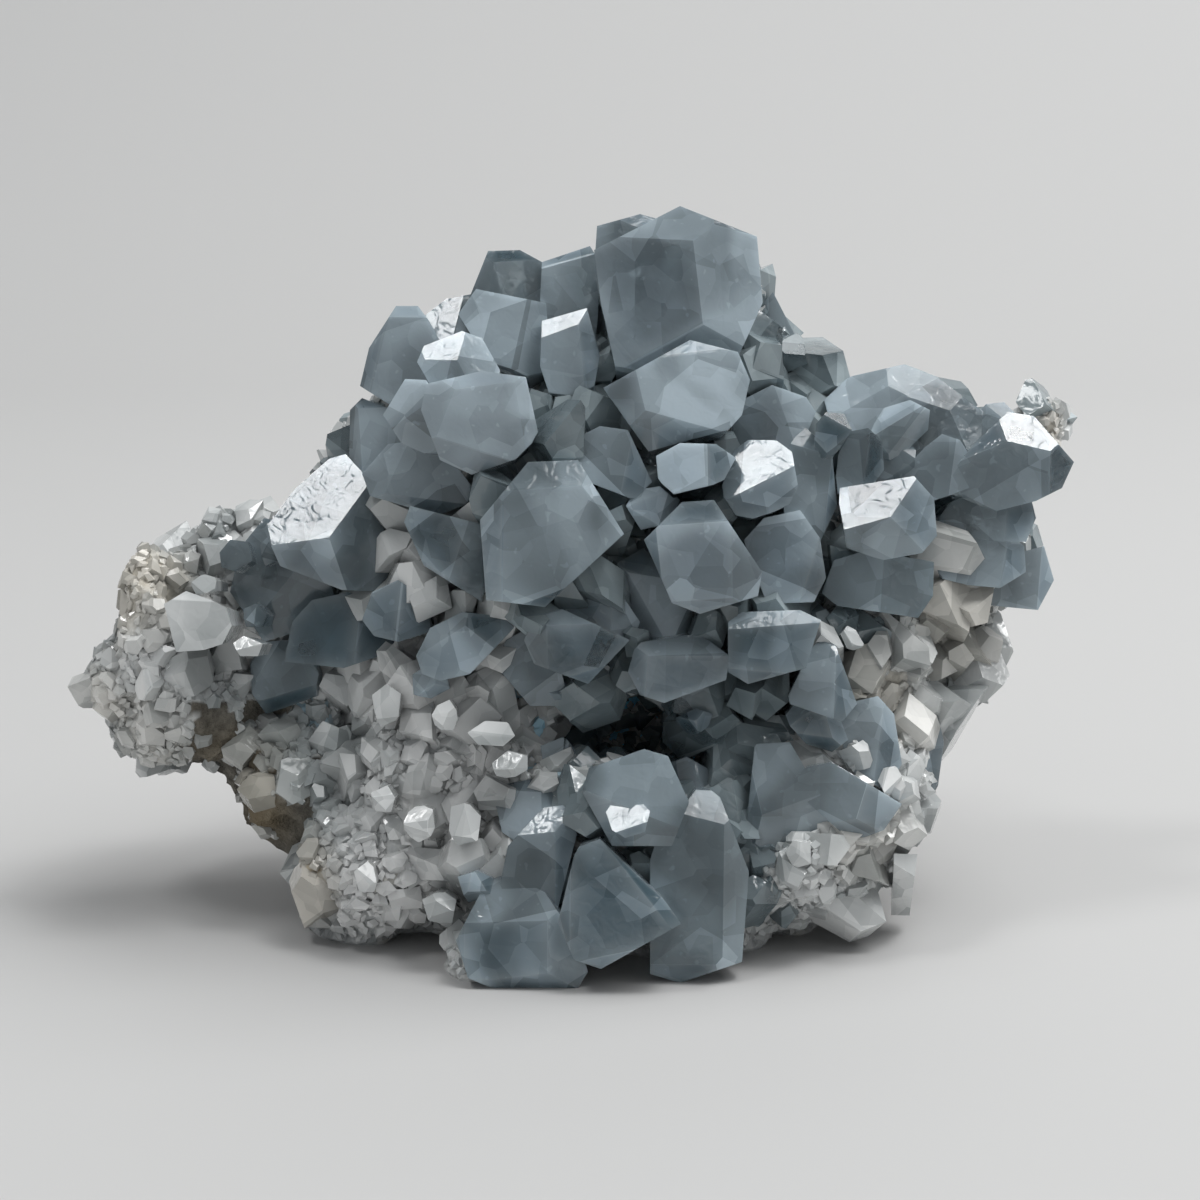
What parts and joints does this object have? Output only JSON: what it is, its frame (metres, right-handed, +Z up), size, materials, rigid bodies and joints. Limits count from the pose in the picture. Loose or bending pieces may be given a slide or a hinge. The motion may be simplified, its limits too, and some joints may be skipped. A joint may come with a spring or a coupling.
{
  "type": "celestite geode cluster",
  "caption": "Pale blue-grey celestite crystals grown as a jagged cluster on a lump of tan-grey matrix rock, cut flat below so that it rests on a table",
  "frame": {"origin": "on the flat that the cluster rests on, below the middle of its width and depth", "axes": "+X to the right of the crystal side, +Y away from the crystal side into the rock, +Z up"},
  "size_m": [0.0915, 0.0535, 0.0648],
  "materials": {
    "celestite": "clear to cloudy pale blue crystal with bright flat facets",
    "matrix_rock": "rough pale tan-grey rock with small pale crystals"
  },
  "bodies": {
    "root": {"matrix": "matrix_rock", "centre_crystals": "celestite", "crown_crystals": "celestite", "further_centre_crystals": "celestite", "lobe_crystals": "celestite", "lower_crystals": "celestite", "rear_crystals": "celestite", "right_crystals": "celestite", "shoulder_crystals": "celestite", "skirt_crystals": "celestite", "amber_top_crystal": "celestite", "back_3_crystal": "celestite", "back_4_crystal": "celestite", "back_5_crystal": "celestite", "back_6_crystal": "celestite", "back_7_crystal": "celestite", "back_8_crystal": "celestite", "back_9_crystal": "celestite", "cave_right_crystal": "celestite", "hanging_crystal": "celestite", "heart_left_crystal": "celestite", "lobe_glint_crystal": "celestite", "lobe_tip_crystal": "celestite", "low_five_crystal": "celestite", "low_four_crystal": "celestite", "low_one_crystal": "celestite", "low_three_crystal": "celestite", "low_two_crystal": "celestite", "niche_crystal": "celestite", "olive_crystal": "celestite", "post_crystal": "celestite", "side_blade_crystal": "celestite", "slope_five_crystal": "celestite", "slope_four_crystal": "celestite", "slope_three_crystal": "celestite", "slope_two_crystal": "celestite", "white_small_crystal": "celestite"}
  },
  "joints": []
}
